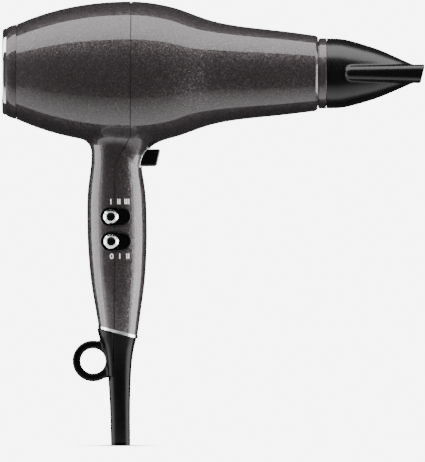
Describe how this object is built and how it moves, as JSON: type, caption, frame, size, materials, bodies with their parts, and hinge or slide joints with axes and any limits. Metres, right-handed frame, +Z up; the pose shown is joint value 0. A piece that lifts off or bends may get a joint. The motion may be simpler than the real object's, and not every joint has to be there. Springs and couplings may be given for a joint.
{
  "type": "hair dryer",
  "caption": "Hand-held hair dryer with a waisted barrel, two slide switches, a cool-shot button, a hanging loop and a flat pull-off concentrator nozzle.",
  "frame": {"origin": "centre of the hand grip, on the handle's axis, 97 mm under the barrel's axis", "axes": "+X along the barrel to the air outlet, +Z up the handle to the barrel, the switches face -Y"},
  "size_m": [0.2737, 0.0922, 0.2887],
  "materials": {
    "lacquer": "warm dark grey metallic-flake lacquer under clear coat",
    "heat_plastic": "heat-resistant black plastic",
    "mica": "mica sheet",
    "resistance_wire": "drawn resistance wire",
    "ceramic": "glazed ceramic",
    "black_plastic": "moulded black plastic",
    "steel": "plated steel",
    "copper": "enamelled copper",
    "bronze": "sintered bronze",
    "board": "laminated board",
    "carbon": "pressed carbon",
    "fan_plastic": "moulded white plastic",
    "gloss_black": "polished black plastic",
    "mesh": "woven steel mesh",
    "chrome": "polished chrome",
    "print": "white printing ink",
    "lead": "insulated leads",
    "rubber": "soft black rubber",
    "satin_black": "satin black plastic"
  },
  "bodies": {
    "housing": {"front_shell": "lacquer", "rear_shell": "lacquer", "outlet_collar": "lacquer", "heater_duct": "heat_plastic", "outlet_grille": "heat_plastic", "heater_liner": "mica", "heater_frame": "mica", "heating_coils": "resistance_wire", "thermal_cutout": "ceramic", "motor_mount": "black_plastic", "motor_mount_screws": "steel", "motor_stator": "steel", "field_coils": "copper", "rear_motor_bracket": "steel", "front_motor_bracket": "steel", "rear_bush": "bronze", "front_bush": "bronze", "brush_holders": "board", "carbon_brushes": "carbon", "heat_bezel": "gloss_black", "heat_switch": "black_plastic", "heat_marks": "print", "speed_bezel": "gloss_black", "speed_switch": "black_plastic", "speed_marks": "print", "switch_board": "board", "board_screws": "steel", "terminal_block": "ceramic", "wiring_loom": "lead", "cool_shot_bezel": "chrome", "cool_shot_spring": "steel", "cool_shot_switch": "black_plastic", "trim_ring": "chrome", "cord_sleeve": "rubber", "hanging_loop": "rubber", "cable_clamp": "black_plastic", "cable_clamp_screws": "steel"},
    "rotor": {"motor_shaft": "steel", "armature": "steel", "commutator": "copper", "fan": "fan_plastic", "fan_nut": "steel"},
    "rear_cover": {"rear_cap": "lacquer", "rear_bead": "chrome", "rear_grille": "black_plastic", "filter_screen": "mesh"},
    "heat_slider": {"heat_knob": "gloss_black", "heat_knob_ring": "chrome"},
    "speed_slider": {"speed_knob": "gloss_black", "speed_knob_ring": "chrome"},
    "cool_button": {"cool_shot_button": "gloss_black"},
    "clip": {"nozzle_clip": "steel"},
    "concentrator": {"nozzle": "satin_black"}
  },
  "joints": [
    {"name": "fan_spin", "type": "hinge", "parent": "housing", "child": "rotor", "pos_m": [0, 0, 0.097], "axis": [1, 0, 0], "continuous": true},
    {"name": "rear_cover_pull", "type": "slide", "parent": "housing", "child": "rear_cover", "axis": [-1, 0, 0], "range_m": [0, 0.03]},
    {"name": "heat_slide", "type": "slide", "parent": "housing", "child": "heat_slider", "axis": [0.9998, 0, 0.0215], "range_m": [0, 0.006]},
    {"name": "speed_slide", "type": "slide", "parent": "housing", "child": "speed_slider", "axis": [0.9998, 0, 0.0215], "range_m": [0, 0.006]},
    {"name": "cool_shot_press", "type": "slide", "parent": "housing", "child": "cool_button", "axis": [-0.9998, 0, -0.0215], "range_m": [0, 0.003], "stiffness_N_per_m": 400, "springref_m": -0.001, "deforming": ["cool_shot_spring"]},
    {"name": "nozzle_pull", "type": "slide", "parent": "housing", "child": "clip", "axis": [1, 0, 0], "range_m": [0, 0.03]},
    {"name": "nozzle_turn", "type": "hinge", "parent": "clip", "child": "concentrator", "pos_m": [0.1358, 0, 0.097], "axis": [1, 0, 0], "continuous": true}
  ]
}
